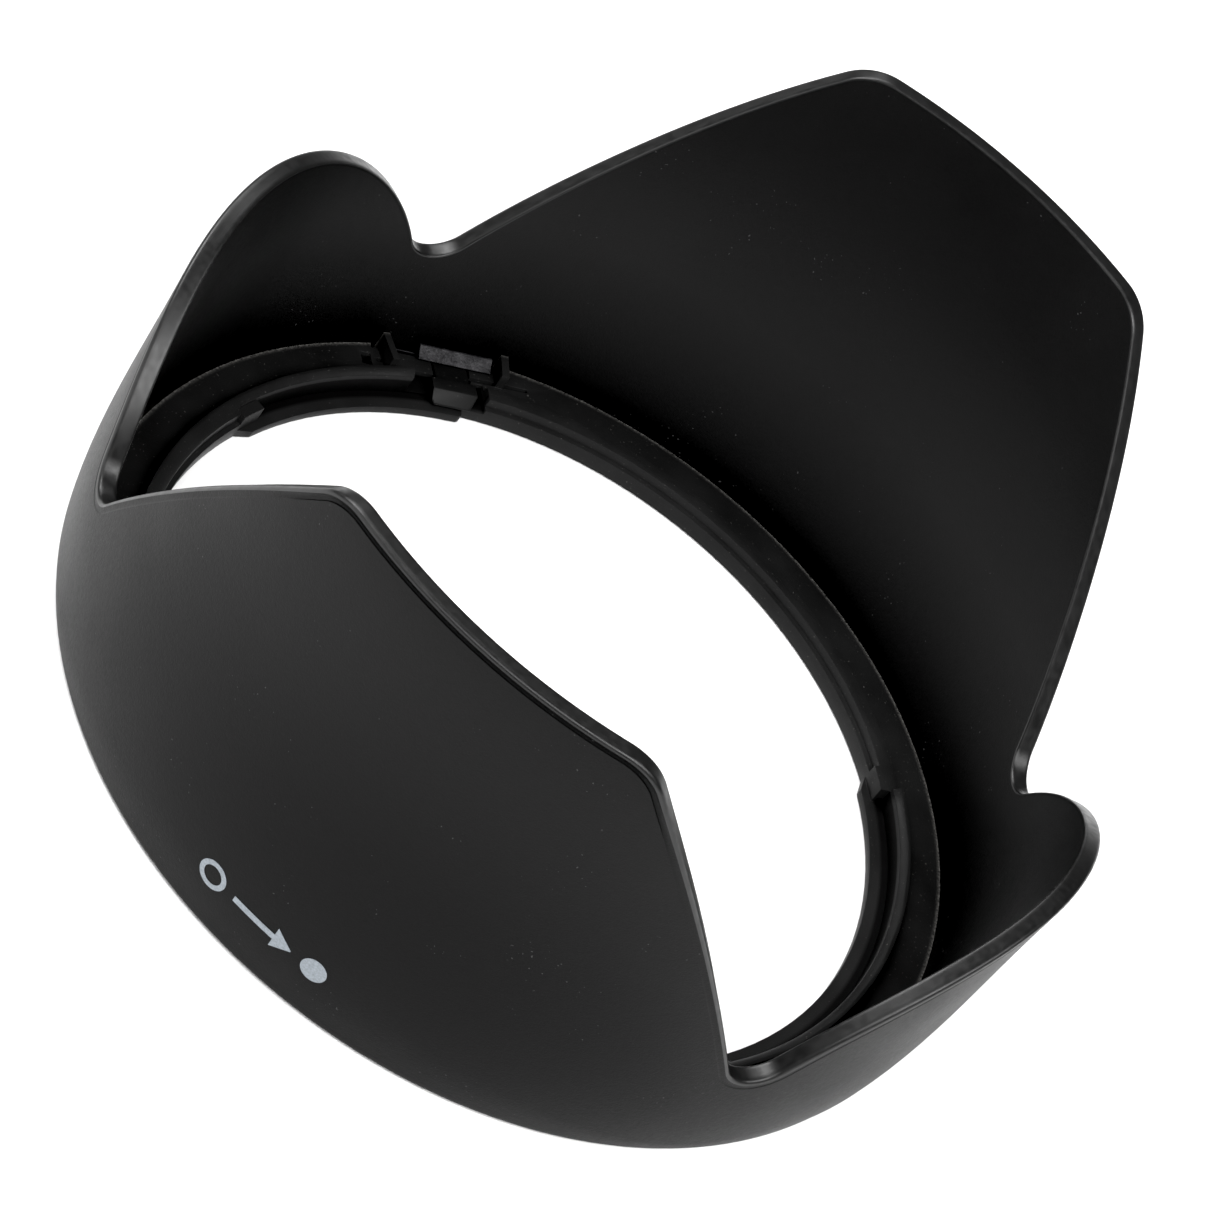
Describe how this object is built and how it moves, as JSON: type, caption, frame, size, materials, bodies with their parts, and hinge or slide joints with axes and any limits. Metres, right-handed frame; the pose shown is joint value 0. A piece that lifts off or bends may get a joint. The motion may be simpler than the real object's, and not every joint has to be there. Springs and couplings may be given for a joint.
{
  "type": "petal lens hood",
  "caption": "Petal lens hood: a flared bell with long and short petals, a lugged bayonet ring in its rear end and a sprung click stop.",
  "frame": {"origin": "centre of the rear face, on the optical axis", "axes": "+Z along the optical axis towards the front, +Y through the middle of one long petal, +X through the middle of a short petal"},
  "size_m": [0.1, 0.104, 0.0512],
  "materials": {
    "bell_plastic": "fine spark-eroded grain, matt, glossier on the rim",
    "ring_plastic": "smooth satin with fine dust",
    "block_plastic": "smooth satin",
    "spring_steel": "dark blued strip, lightly brushed"
  },
  "bodies": {
    "hood": {"petal_shell": "bell_plastic", "bayonet_ring": "ring_plastic", "leaf_spring": "spring_steel"},
    "click": {"click_block": "block_plastic"}
  },
  "joints": [
    {"name": "click_travel", "type": "slide", "parent": "hood", "child": "click", "axis": [-0.7022, 0.712, 0], "range_m": [0, 0.00055], "stiffness_N_per_m": 2000, "springref_m": -0.0005, "deforming": ["leaf_spring"]}
  ]
}
